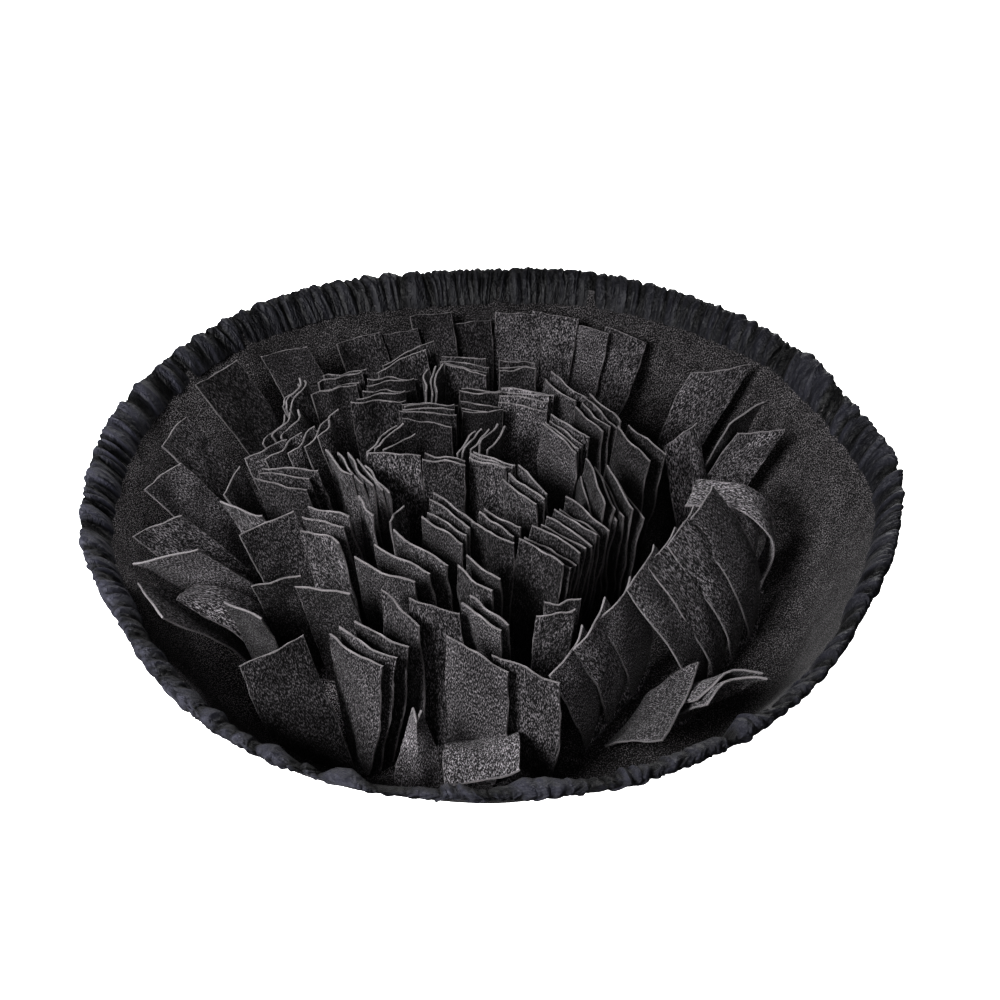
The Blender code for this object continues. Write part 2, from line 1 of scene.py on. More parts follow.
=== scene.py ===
"""Looks of the snuffle mat: melange felt disc, gathered nylon casing and rows of cut felt flaps.

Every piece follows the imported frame; lengths in the functions are millimetres unless a name says otherwise.
"""
import math

import bmesh
import bpy
import numpy as np
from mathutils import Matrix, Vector


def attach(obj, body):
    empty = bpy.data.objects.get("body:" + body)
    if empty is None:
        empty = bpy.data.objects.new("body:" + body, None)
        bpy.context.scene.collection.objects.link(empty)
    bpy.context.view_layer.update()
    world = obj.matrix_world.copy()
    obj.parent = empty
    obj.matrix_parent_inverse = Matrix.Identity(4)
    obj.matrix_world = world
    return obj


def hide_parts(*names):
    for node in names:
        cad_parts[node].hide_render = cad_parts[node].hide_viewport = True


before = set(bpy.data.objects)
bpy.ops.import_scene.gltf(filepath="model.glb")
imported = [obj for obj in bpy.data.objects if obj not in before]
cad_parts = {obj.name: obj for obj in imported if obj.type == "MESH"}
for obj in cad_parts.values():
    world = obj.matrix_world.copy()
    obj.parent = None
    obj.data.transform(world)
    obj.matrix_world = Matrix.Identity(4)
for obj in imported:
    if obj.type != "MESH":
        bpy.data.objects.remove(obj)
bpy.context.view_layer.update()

MM = 0.001
BODY = "root"
SEED = 4309

# ---- felt disc and casing (mm) ------------------------------------------------------------------
DISC_FELT = 3.0              # thickness of the disc's felt
DISC_AROUND = 360            # facets round the disc
DISC_UP = 36                 # facets from the floor's edge to the rim
GATHER_DEPTH = 1.5           # how deep the elastic's gathers run in the wall
CASING_AROUND = 2400         # facets along the casing
CASING_OVER = 34             # facets over it, from the inner lip to the outer one
CASING_CUT = (1780.0, 48.0)  # flat strip, fitted to the casing drawn here; a real one may be larger
CASING_DRAWN = (4.2, 1.8)    # how much thinner the elastic draws it, at the front and elsewhere
CASING_HUNG = (1.2, 0.35)    # how much lower its inner hem hangs, at the back and elsewhere (share)
LIP_TURN = 138.0             # how far round the casing wraps from its top to each lip (deg)
# the casing's pleats, as (usual width, usual height), each as (at the back, elsewhere)
PUFFS = ((14.0, 26.0), (2.6, 4.6))
FACETS = ((8.0, 11.0), (2.2, 3.2))
FOLDS = ((5.2, 7.0), (2.6, 1.7))
CREASES = ((3.0, 3.6), (1.1, 1.5))
# painted light and shade round the mat, as (azimuth in deg, share), tuned by trial renders in this light
DISC_PAINTED_SHADE = ((0, 0.75), (60, 0.55), (95, 0.45), (135, 0.65), (180, 2.5), (225, 2.6), (250, 1.5), (275, 0.8),
              (320, 0.75))
CASING_PAINTED_SHADE = ((0, 1.0), (50, 0.65), (90, 0.32), (140, 0.75), (180, 2.5), (225, 1.9), (270, 1.4), (320, 0.8))

# ---- flaps (mm) ---------------------------------------------------------------------------------
FLAP_FELT = 1.4              # thickness of the flaps' felt as drawn; the solids keep their own 2 mm
FLAP_ACROSS = 10             # facets across a flap
FLAP_UP = 18                 # facets up it
EDGE_BAND = 0.5              # width of the paler band, fibre ends and painted highlight, that a cut edge leaves on each face
EDGE_ROUND = 0.35            # how far the middle of a cut edge stands out
STRIP_REACH = 3.0            # strip beyond the first and last flap of a row
STRIP_TOP = 5.3              # height of the strip's top face
LYING_AIR = 0.4              # air between the disc and the felt that lies on it

# How each row's felt hangs, in mm unless it says otherwise.
#   cup      how far the middle of a flap stands forward of its sides
#   fold     the same, but creased down the middle
#   bend     how far it bulges forward half way up
#   wave     depth of the ripples along its top; waves is their number and phase where they start (turns)
#   curl     how far its top rolls over, forward or, if negative, back
#   over     how far the felt bends over, forward or, if negative, back (deg)
#   roll     how far up the curl and the bend over start (share)
#   tilt     how much higher one top corner is than the other
#   dog      how far a top corner turns forward, positive for one and negative for the other
#   taper    how much narrower the top is (share)
#   ragged   unevenness of the cut top
#   uneven   how much the flaps of a row differ in length
#   loose    how far their tops stray from an even row
#   dent     depth of the dents all over
#   foot     how far the sewn end is moved along X and Y from the solid's, while the top stays
#   swing    how far the top is turned about the upright (deg)
#   tone     painted light and shade of the row's felt (1 is usual)
# cup, bend and phase are drawn for each row that doesn't give them.
HANG = {"fold": 0.0, "wave": 0.4, "waves": 0.8, "curl": 0.0, "over": 0.0, "roll": 0.6, "tilt": 0.0, "dog": 0.0,
        "taper": 0.0, "ragged": 0.45, "uneven": 3.0, "loose": 0.8, "dent": 0.8,
        "foot": (0.0, 0.0), "swing": 0.0, "tone_and_painted_shade": 1.0}
ROW_HANG = {
    # lying up the wall
    "wall_back_right": {"tone_and_painted_shade": 1.0, "uneven": 6.0, "loose": 2.0, "wave": 1.2, "waves": 1.2},
    "wall_back_left": {"tone_and_painted_shade": 0.42, "uneven": 9.0, "loose": 2.0, "wave": 1.6, "dog": 5.0},
    "wall_left_back": {"tone_and_painted_shade": 0.38, "uneven": 6.0, "dog": 6.0},
    "wall_left": {"tone_and_painted_shade": 1.2, "uneven": 6.0, "dog": 5.0},
    "wall_left_front": {"tone_and_painted_shade": 1.8, "over": 4.0, "roll": 0.3, "dog": 4.0},
    "wall_right": {"tone_and_painted_shade": 1.15},
    "wall_right_back": {"tone_and_painted_shade": 1.15},
    # lying at the low front rim
    "front_lying": {"tone_and_painted_shade": 1.97, "bend": -11.0, "swing": 12.0},
    "front_bright_edge": {"taper": 0.85, "fold": 9.0, "tone_and_painted_shade": 1.5, "foot": (0.0, -40.0)},
    "front_right_lying": {"tone_and_painted_shade": 0.97, "cup": 2.0, "taper": -0.6},
    "front_right_loops": {"cup": -6.0, "tone_and_painted_shade": 1.9},
    # standing at the back left
    "back_left_inner": {"wave": 2.6, "waves": 1.5, "cup": 0.5, "tone_and_painted_shade": 0.31},
    "back_left_outer": {"wave": 2.8, "waves": 1.7, "cup": -0.5, "tone_and_painted_shade": 0.43},
    "back_left_far": {"wave": 2.2, "waves": 0.9, "tilt": 3.0, "tone_and_painted_shade": 0.54},
    "back_left_edge": {"tone_and_painted_shade": 0.86},
    "left_back_upper": {"wave": 2.2, "waves": 1.2},
    "left_back_lower": {"wave": 2.4, "waves": 1.1, "tone_and_painted_shade": 0.72},
    "left_back_curve": {"wave": 2.0, "waves": 1.3, "tone_and_painted_shade": 1.33},
    # standing at the back
    "back_stack": {"wave": 1.5, "waves": 1.0, "tone_and_painted_shade": 0.5},
    "back_pages": {"wave": 1.0, "waves": 0.9, "tone_and_painted_shade": 0.28, "uneven": 5.0},
    "back_mid_left": {"wave": 1.3, "waves": 1.2, "tone_and_painted_shade": 0.31},
    "back_hooks": {"curl": 5.0, "roll": 0.6, "wave": 1.5},
    "back_small": {"wave": 2.0, "waves": 1.2, "dog": 4.0, "tone_and_painted_shade": 0.42},
    # standing at the right
    "bright_stack": {"tone_and_painted_shade": 1.14},
    "right_back_long": {"tone_and_painted_shade": 0.74},
    "right_back_fan": {"tone_and_painted_shade": 0.46},
    "right_mid_stack": {"tone_and_painted_shade": 0.8},
    "leaf_pages": {"tone_and_painted_shade": 0.5, "bend": 3.0, "uneven": 12.0, "loose": 2.2},
    "right_edge_pair": {"tone_and_painted_shade": 0.46},
    "right_lying": {"tone_and_painted_shade": 2.47, "cup": 3.0},
    "right_arch": {"over": -75.0, "roll": 0.42, "tone_and_painted_shade": 2.3},
    # standing in the middle
    "core_left": {"tone_and_painted_shade": 0.47},
    "core_right": {"tone_and_painted_shade": 0.81},
    "core_steps": {"tone_and_painted_shade": 0.61, "uneven": 5.0},
    "core_fold": {"tone_and_painted_shade": 0.52},
    "core_curve": {"tone_and_painted_shade": 0.5, "uneven": 7.0, "loose": 1.5},
    "core_tail": {"tone_and_painted_shade": 0.61},
    "core_low": {"tone_and_painted_shade": 0.72},
    # standing at the left
    "left_slope": {"tone_and_painted_shade": 0.85},
    "left_peak": {"tone_and_painted_shade": 1.15},
    "left_flat": {"tone_and_painted_shade": 0.55},
    "left_low": {"tone_and_painted_shade": 1.05},
    "left_v_inner": {"tone_and_painted_shade": 1.15},
    "left_fold": {"tone_and_painted_shade": 1.5, "over": -42.0, "roll": 0.3, "cup": 3.0, "dog": 9.0},
    "left_dark": {"tone_and_painted_shade": 0.6},
    "left_front_face": {"tone_and_painted_shade": 0.6},
    "big_left": {"tone_and_painted_shade": 0.8},
    # leaning on the front wall
    "front_left": {"bend": 3.0, "cup": 1.5, "tone_and_painted_shade": 0.5, "foot": (16.0, -36.0)},
    "front_slope": {"tone_and_painted_shade": 0.7, "foot": (6.0, -24.0), "swing": 24.0},
    "front_bright": {"tone_and_painted_shade": 0.74, "foot": (4.0, -30.0)},
    "front_face": {"foot": (0.0, -26.0), "tone_and_painted_shade": 0.75},
    # bent round the right of the middle
    "ring_front": {"cup": 2.0, "tone_and_painted_shade": 2.0},
    "ring_right": {"cup": 2.0, "tone_and_painted_shade": 1.47},
}

# ---- studio (m) ---------------------------------------------------------------------------------
COVE = 5.0                   # radius of the paper
CAMERA_AT = (0.0042, -0.6569, 0.5907)
CAMERA_LENS = 50.0           # mm
CAMERA_TILT = 51.0           # from straight down (deg)
ROOM_LIGHT = 0.01            # strength of the even light from all round
# softboxes as (name, place, side, watts); all point at the middle of the mat
SOFTBOXES = (("key", (-0.88, -0.95, 0.98), 0.6, 52), ("front_fill", (0.1, -1.2, 0.9), 0.6, 7),
             ("back", (0.35, 1.5, 0.45), 0.8, 16))


# ---- small helpers ------------------------------------------------------------------------------


def linear(hex_colour):
    """An sRGB hex value such as "#2A2A2C" as linear RGBA."""
    parts = [int(hex_colour[i:i + 2], 16) / 255 for i in (1, 3, 5)]
    return tuple(c / 12.92 if c <= 0.04045 else ((c + 0.055) / 1.055) ** 2.4 for c in parts) + (1.0,)


def add_node(material, kind, settings=None, links=None):
    """Add a node; settings are its sockets or properties, links feed its sockets from others."""
    node = material.node_tree.nodes.new(kind)
    for name, value in (settings or {}).items():
        if isinstance(name, int) or name in node.inputs:
            node.inputs[name].default_value = value
        else:
            setattr(node, name, value)
    for name, socket in (links or {}).items():
        material.node_tree.links.new(socket, node.inputs[name])
    return node


def new_material(name):
    """An empty node material with its output; returns both."""
    material = bpy.data.materials.new(name)
    material.use_nodes = True
    material.node_tree.nodes.clear()
    return material, add_node(material, "ShaderNodeOutputMaterial")


def make_piece(name, points_mm, faces, material, replaced=None, crease=55):
    """A mesh that rides on the mat and stands for a node of the frame, smooth but for edges sharper than
    crease (deg)."""
    mesh = bpy.data.meshes.new(name)
    mesh.from_pydata([tuple(p) for p in np.asarray(points_mm) * MM], [], faces)
    shape = bmesh.new()
    shape.from_mesh(mesh)
    bmesh.ops.recalc_face_normals(shape, faces=shape.faces[:])
    shape.to_mesh(mesh)
    shape.free()
    mesh.materials.append(material)
    mesh.shade_smooth()
    mesh.set_sharp_from_angle(angle=math.radians(crease))
    piece = bpy.data.objects.new(name, mesh)
    bpy.context.collection.objects.link(piece)
    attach(piece, BODY)
    if replaced:
        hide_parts(replaced)
    return piece


def put_numbers(piece, name, values):
    """Store one number a vertex under a name that the materials read."""
    layer = piece.data.attributes.new(name, "FLOAT", "POINT")
    layer.data.foreach_set("value", np.asarray(values, np.float32).ravel())


def put_vectors(piece, name, values):
    """Store one vector a vertex under a name that the materials read."""
    layer = piece.data.attributes.new(name, "FLOAT_VECTOR", "POINT")
    layer.data.foreach_set("vector", np.asarray(values, np.float32).ravel())


def smooth_line(points, places):
    """A smooth curve through points [n, ...], read at places from 0 to 1."""
    points = np.asarray(points, float)
    last = len(points) - 1
    padded = np.concatenate((2 * points[:1] - points[1:2], points, 2 * points[-1:] - points[-2:-1]))
    at = np.clip(np.asarray(places, float), 0, 1) * last
    i = np.minimum(at.astype(int), last - 1)
    t = (at - i).reshape((-1,) + (1,) * (points.ndim - 1))
    p0, p1, p2, p3 = (padded[i + k] for k in range(4))
    return 0.5 * (2 * p1 + (p2 - p0) * t + (2 * p0 - 5 * p1 + 4 * p2 - p3) * t ** 2
                  + (3 * p1 - p0 - 3 * p2 + p3) * t ** 3)


def smooth_ring(values, degrees):
    """A closed smooth curve through values spaced evenly round a full turn, read at degrees."""
    count = len(values)
    at = (np.asarray(degrees, float) % 360.0) / 360.0 * count
    i = at.astype(int) % count
    t = (at - np.floor(at)).reshape((-1,) + (1,) * (np.ndim(values) - 1))
    values = np.asarray(values, float)
    p0, p1, p2, p3 = (values[(i + k - 1) % count] for k in range(4))
    return 0.5 * (2 * p1 + (p2 - p0) * t + (2 * p0 - 5 * p1 + 4 * p2 - p3) * t ** 2
                  + (3 * p1 - p0 - 3 * p2 + p3) * t ** 3)


def grid_faces(rows, columns, closed=False, start=0):
    """Quads of a grid of points stored row by row; closed joins its last column to its first."""
    faces = []
    for j in range(rows - 1):
        for i in range(columns if closed else columns - 1):
            n = (i + 1) % columns
            faces.append((start + j * columns + i, start + j * columns + n,
                          start + (j + 1) * columns + n, start + (j + 1) * columns + i))
    return faces


def node_points(node, weld=2e-5):
    """The welded corners of a node in mm and their neighbours."""
    shape = bmesh.new()
    shape.from_mesh(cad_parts[node].data)
    bmesh.ops.remove_doubles(shape, verts=shape.verts[:], dist=weld)
    shape.verts.index_update()
    points = np.array([v.co[:] for v in shape.verts]) / MM
    beside = [[e.other_vert(v).index for e in v.link_edges] for v in shape.verts]
    shape.free()
    return points, beside


# ---- materials ----------------------------------------------------------------------------------


def felt(name, dark, mid, pale, edge, grain_mm=1.3, streak=2.2):
    """Needle-punched melange felt: black and pale staple fibres matted together, so it looks speckled from
    close up and charcoal from afar, with a dull fuzzy face and a pale cut edge: fibre ends and a painted
    highlight."""
    material, output = new_material(name)
    place = add_node(material, "ShaderNodeAttribute", {"attribute_name": "cloth_mm"})
    along = add_node(material, "ShaderNodeMapping", {"Scale": (1.0, 1.0 / streak, 1.0)},
                     {"Vector": place.outputs["Vector"]})
    # one speckle a little wider than a fibre bundle, drawn out along the felt's carding
    speckle = add_node(material, "ShaderNodeTexNoise",
                       {"Scale": 1.0 / grain_mm, "Detail": 2.0, "Roughness": 0.65},
                       {"Vector": along.outputs["Vector"]})
    fibres = add_node(material, "ShaderNodeValToRGB", None, {"Fac": speckle.outputs["Fac"]})
    ramp = fibres.color_ramp
    ramp.elements[0].position, ramp.elements[0].color = 0.37, linear(dark)
    ramp.elements[1].position, ramp.elements[1].color = 0.66, linear(pale)
    middle = ramp.elements.new(0.5)
    middle.color = linear(mid)
    # clouds where the fibres were blended unevenly, about 15 mm across
    clouds = add_node(material, "ShaderNodeTexNoise", {"Scale": 1 / 15.0, "Detail": 3.0},
                      {"Vector": place.outputs["Vector"]})
    shade = add_node(material, "ShaderNodeMapRange",
                     {"From Min": 0.3, "From Max": 0.7, "To Min": 0.72, "To Max": 1.25},
                     {"Value": clouds.outputs["Fac"]})
    # painted light and shade stored on each piece, with a random tone for each flap
    tone_and_painted_shade = add_node(material, "ShaderNodeAttribute", {"attribute_name": "tone_and_painted_shade"})
    both = add_node(material, "ShaderNodeMath", {"operation": "MULTIPLY"},
                    {0: shade.outputs["Result"], 1: tone_and_painted_shade.outputs["Fac"]})
    shaded = add_node(material, "ShaderNodeVectorMath", {"operation": "SCALE"},
                      {0: fibres.outputs["Color"], "Scale": both.outputs["Value"]})
    # cut edge: pale fibre ends and a painted highlight, broken up along the cut and missing here and there
    edge_patches = add_node(material, "ShaderNodeTexNoise", {"Scale": 1 / 9.0, "Detail": 1.0},
                    {"Vector": place.outputs["Vector"]})
    patchy_edge = add_node(material, "ShaderNodeMapRange",
                    {"From Min": 0.35, "From Max": 0.6, "To Min": 0.3, "To Max": 1.0},
                    {"Value": edge_patches.outputs["Fac"]})
    cut = add_node(material, "ShaderNodeAttribute", {"attribute_name": "cut_edge"})
    broken = add_node(material, "ShaderNodeMapRange",
                      {"From Min": 0.3, "From Max": 0.6, "To Min": 0.25, "To Max": 1.0},
                      {"Value": speckle.outputs["Fac"]})
    spread = add_node(material, "ShaderNodeMath", {"operation": "MULTIPLY"},
                      {0: patchy_edge.outputs["Result"], 1: broken.outputs["Result"]})
    ends = add_node(material, "ShaderNodeMath", {"operation": "MULTIPLY"},
                    {0: cut.outputs["Fac"], 1: spread.outputs["Value"]})
    colour = add_node(material, "ShaderNodeMix", {"data_type": "RGBA", 7: linear(edge)},
                      {0: ends.outputs["Value"], 6: shaded.outputs["Vector"]})
    # matted surface: bumps of the same fibre bundles over lumps of a few millimetres
    lumps = add_node(material, "ShaderNodeTexNoise", {"Scale": 1 / 5.0, "Detail": 2.0},
                     {"Vector": place.outputs["Vector"]})
    height = add_node(material, "ShaderNodeMath", {"operation": "MULTIPLY_ADD", 1: 1.6},
                      {0: lumps.outputs["Fac"], 2: speckle.outputs["Fac"]})
    bump = add_node(material, "ShaderNodeBump", {"Strength": 0.6, "Distance": 0.0005},
                    {"Height": height.outputs["Value"]})
    shader = add_node(material, "ShaderNodeBsdfPrincipled",
                      {"Roughness": 0.95, "Sheen Weight": 0.04, "Sheen Roughness": 0.5,
                       "Specular IOR Level": 0.1, "IOR": 1.5},
                      {"Base Color": colour.outputs[2], "Normal": bump.outputs["Normal"]})
    material.node_tree.links.new(shader.outputs["BSDF"], output.inputs["Surface"])
    return material


def ruched_nylon(name, dark, pale):
    """Thin plain-woven nylon lining cloth, gathered on elastic: satin folds, slightly blue in the light."""
    material, output = new_material(name)
    place = add_node(material, "ShaderNodeAttribute", {"attribute_name": "cloth_mm"})
    folds = add_node(material, "ShaderNodeTexNoise", {"Scale": 1 / 7.0, "Detail": 3.0},
                     {"Vector": place.outputs["Vector"]})
    shade = add_node(material, "ShaderNodeMix",
                     {"data_type": "RGBA", 6: linear(dark), 7: linear(pale)}, {0: folds.outputs["Fac"]})
    # painted light and shade stored on the casing, round the mat and over its ridges and creases
    tone_and_painted_shade = add_node(material, "ShaderNodeAttribute", {"attribute_name": "tone_and_painted_shade"})
    shaded = add_node(material, "ShaderNodeVectorMath", {"operation": "SCALE"},
                      {0: shade.outputs[2], "Scale": tone_and_painted_shade.outputs["Fac"]})
    crinkle = add_node(material, "ShaderNodeTexNoise", {"Scale": 1 / 2.5, "Detail": 4.0, "Distortion": 1.2},
                       {"Vector": place.outputs["Vector"]})
    # thread spacing drawn at 0.8 mm, coarser than the real cloth, so that it still shows
    weave = add_node(material, "ShaderNodeTexNoise", {"Scale": 1 / 0.8, "Detail": 1.0},
                     {"Vector": place.outputs["Vector"]})
    # flat little faces between sharp creases, 4 to 10 mm long and longer over the casing than along it
    bent = add_node(material, "ShaderNodeVectorMath", {"operation": "SCALE", "Scale": 2.5},
                    {0: crinkle.outputs["Color"]})
    pulled = add_node(material, "ShaderNodeVectorMath", {"operation": "ADD"},
                      {0: place.outputs["Vector"], 1: bent.outputs["Vector"]})
    drawn = add_node(material, "ShaderNodeMapping", {"Scale": (1.0, 0.45, 1.0)},
                     {"Vector": pulled.outputs["Vector"]})
    facets = add_node(material, "ShaderNodeTexVoronoi", {"Scale": 1 / 4.5},
                      {"Vector": drawn.outputs["Vector"]})
    crumpled = add_node(material, "ShaderNodeMath", {"operation": "MULTIPLY_ADD", 1: 1.4},
                        {0: facets.outputs["Distance"], 2: crinkle.outputs["Fac"]})
    height = add_node(material, "ShaderNodeMath", {"operation": "MULTIPLY_ADD", 1: 0.25},
                      {0: weave.outputs["Fac"], 2: crumpled.outputs["Value"]})
    bump = add_node(material, "ShaderNodeBump", {"Strength": 0.8, "Distance": 0.0016},
                    {"Height": height.outputs["Value"]})
    shader = add_node(material, "ShaderNodeBsdfPrincipled",
                      {"Roughness": 0.55, "Specular IOR Level": 0.25, "IOR": 1.5,
                       "Sheen Weight": 0.03, "Sheen Roughness": 0.4},
                      {"Base Color": shaded.outputs["Vector"], "Normal": bump.outputs["Normal"]})
    material.node_tree.links.new(shader.outputs["BSDF"], output.inputs["Surface"])
    return material


def studio_floor(name):
    """Seamless white paper, bright enough to burn out."""
    material, output = new_material(name)
    grain = add_node(material, "ShaderNodeTexNoise", {"Scale": 900.0})
    white = add_node(material, "ShaderNodeMix",
                     {"data_type": "RGBA", 6: linear("#FAFAFA"), 7: linear("#FFFFFF")},
                     {0: grain.outputs["Fac"]})
    shader = add_node(material, "ShaderNodeBsdfPrincipled",
                      {"Roughness": 0.9, "Emission Color": linear("#FFFFFF"), "Emission Strength": 1.0},
                      {"Base Color": white.outputs[2]})
    material.node_tree.links.new(shader.outputs["BSDF"], output.inputs["Surface"])
    return material


# ---- felt disc ----------------------------------------------------------------------------------


def disc_profile():
    """Middle of the disc's felt, as (radius, height) at each azimuth and step up the wall, from the frame."""
    points, _ = node_points("base_felt")
    radius = np.hypot(points[:, 0], points[:, 1])
    azimuth = np.degrees(np.arctan2(points[:, 1], points[:, 0])) % 360
    on_wall = radius > 50
    turns = np.unique(np.round(azimuth[on_wall], 1) % 360)
    profile = []
    for turn in turns:
        near = np.abs((azimuth - turn + 180) % 360 - 180) < 0.3
        mine = np.stack((radius, points[:, 2]), 1)[near & on_wall]
        mine = mine[np.argsort(mine.sum(1))]
        profile.append((mine[0::2] + mine[1::2]) / 2)
    return np.array(profile)                     # [azimuth, step, (radius, height)]


def wall_frame(profile, degrees):
    """Mid-felt points [step up, azimuth, (r, z)] with their inward normals, read finely."""
    rings = smooth_ring(profile, degrees)        # [azimuth, step, 2]
    fine = smooth_line(np.swapaxes(rings, 0, 1), np.linspace(0, 1, DISC_UP + 1))
    rise = np.gradient(fine, axis=0)
    rise /= np.linalg.norm(rise, axis=2, keepdims=True)
    return fine, np.stack((-rise[..., 1], rise[..., 0]), axis=2)


def painted_shade_round(degrees, painted_shades):
    """Painted light and shade of the cloth at each azimuth, from shares given as (azimuth, share) round a
    turn.
    """
    turns, shares = zip(*painted_shades)
    return np.interp(np.asarray(degrees) % 360, turns, shares, period=360)


def gathers(degrees, up):
    """How far the wall is pushed in or out where the elastic gathers it, in mm; up runs 0 to 1."""
    a = np.radians(degrees)
    broad = np.sin(17 * a + 0.8 * np.sin(5 * a)) * 0.8
    tight = np.sin(46 * a + 1.9 * np.sin(7 * a + 1.0)) * 0.55
    calm = 0.55 + 0.45 * np.sin(a - 0.4)         # the back is gathered most
    return GATHER_DEPTH * calm * (broad * up ** 2 + tight * up ** 5)


def make_disc(profile, material):
    """The disc: flat floor, bend and gathered wall, as one sheet of felt."""
    degrees = np.linspace(0, 360, DISC_AROUND, endpoint=False)
    middle, normal = wall_frame(profile, degrees)
    up = np.linspace(0, 1, DISC_UP + 1)[:, None]
    middle = middle + normal * gathers(degrees, up)[..., None]
    radians = np.radians(degrees)
    floor_rings = 8
    points, faces, place, cut = [], [], [], []
    for side in (1, -1):
        sheet = middle + normal * side * DISC_FELT / 2
        first = np.repeat(sheet[:1], floor_rings, axis=0)
        first[..., 0] *= np.linspace(0.02, 1, floor_rings, endpoint=False)[:, None]
        sheet = np.concatenate((first, sheet))
        start = len(points)
        x, y = sheet[..., 0] * np.cos(radians), sheet[..., 0] * np.sin(radians)
        points += np.stack((x, y, sheet[..., 1]), axis=2).reshape(-1, 3).tolist()
        faces += grid_faces(len(sheet), DISC_AROUND, closed=True, start=start)
        faces.append(tuple(range(start, start + DISC_AROUND)))
        run = np.cumsum(np.linalg.norm(np.diff(sheet, axis=0, prepend=sheet[:1]), axis=2), axis=0)
        place += np.stack((run * np.cos(radians), run * np.sin(radians), np.full_like(run, side * 40)),
                          axis=2).reshape(-1, 3).tolist()
        cut += [0.0] * (len(sheet) - 1) * DISC_AROUND + [1.0] * DISC_AROUND
    top = (DISC_UP + floor_rings) * DISC_AROUND
    other = len(points) // 2
    for i in range(DISC_AROUND):
        n = (i + 1) % DISC_AROUND
        faces.append((top + i, top + n, other + top + n, other + top + i))
    disc = make_piece("felt_disc", points, faces, material, "base_felt")
    put_vectors(disc, "cloth_mm", place)
    put_numbers(disc, "cut_edge", cut)
    # painted light and shade round the wall: paler at the left, darker at the back
    ring = painted_shade_round(degrees, DISC_PAINTED_SHADE)
    put_numbers(disc, "tone_and_painted_shade", np.tile(ring, len(points) // DISC_AROUND))
    return disc


# ---- casing -------------------------------------------------------------------------------------


def casing_size(profile):
    """The casing at each azimuth of the profile, from the frame: half width, half thickness and how far its
    middle stands above the disc's edge."""
    points, _ = node_points("rim_casing")
    radius = np.hypot(points[:, 0], points[:, 1])
    azimuth = np.degrees(np.arctan2(points[:, 1], points[:, 0])) % 360
    sizes = []
    for k, ring in enumerate(profile):
        turn = 360.0 * k / len(profile)
        near = np.abs((azimuth - turn + 180) % 360 - 180) < 0.4
        up = (ring[-1] - ring[-2]) / np.linalg.norm(ring[-1] - ring[-2])
        away = np.stack((radius, points[:, 2]), 1)[near] - ring[-1]
        along, across = away @ up, away @ np.array((-up[1], up[0]))
        sizes.append((np.ptp(along) / 2, np.ptp(across) / 2, (along.max() + along.min()) / 2))
    sizes = np.array(sizes)
    return sum(np.roll(sizes, k, axis=0) for k in range(-2, 3)) / 5


def pleat_heights(rng, perimeter, run, over, pitch, height, creased=False):
    """Cloth heights in mm of one set of pleats of uneven width: rounded, or creased with flat faces.

    run and over place each point along the rim and over the casing; pitch and height are the folds' usual
    width and height in mm, each as (at the back, elsewhere)."""
    starts, widths = [0.0], []
    while starts[-1] < perimeter:
        usual = pitch[1] + (pitch[0] - pitch[1]) * backness(starts[-1] / perimeter * 360)
        widths.append(usual * float(np.clip(rng.lognormal(0, 0.55), 0.35, 2.8)))
        starts.append(starts[-1] + widths[-1])
    grown = perimeter / starts[-1]
    starts, widths = np.array(starts[:-1]) * grown, np.array(widths) * grown
    count = len(widths)
    peak = rng.uniform(0.2, 0.8, count)
    tall = rng.uniform(0.5, 1.4, count) * np.sqrt(widths / widths.mean())
    fullest = rng.uniform(-0.7, 0.7, count)
    k = np.searchsorted(starts, run % perimeter, side="right") - 1
    share = (run % perimeter - starts[k]) / widths[k]
    fold = np.where(share < peak[k], share / peak[k], (1 - share) / (1 - peak[k]))
    if not creased:
        fold = np.sin(np.pi / 2 * np.clip(fold, 0, 1)) ** 0.8
    usual = height[1] + (height[0] - height[1]) * backness(run / perimeter * 360)
    return usual * tall[k] * (1 - 0.45 * np.abs(over - fullest[k])) * (fold - 0.5)


def backness(degrees):
    """1 at the back of the rim, where the pleats stand close-set and upright, fading to 0 at the sides."""
    return np.exp(-(((degrees + 90) % 360 - 180) / 46.0) ** 4)


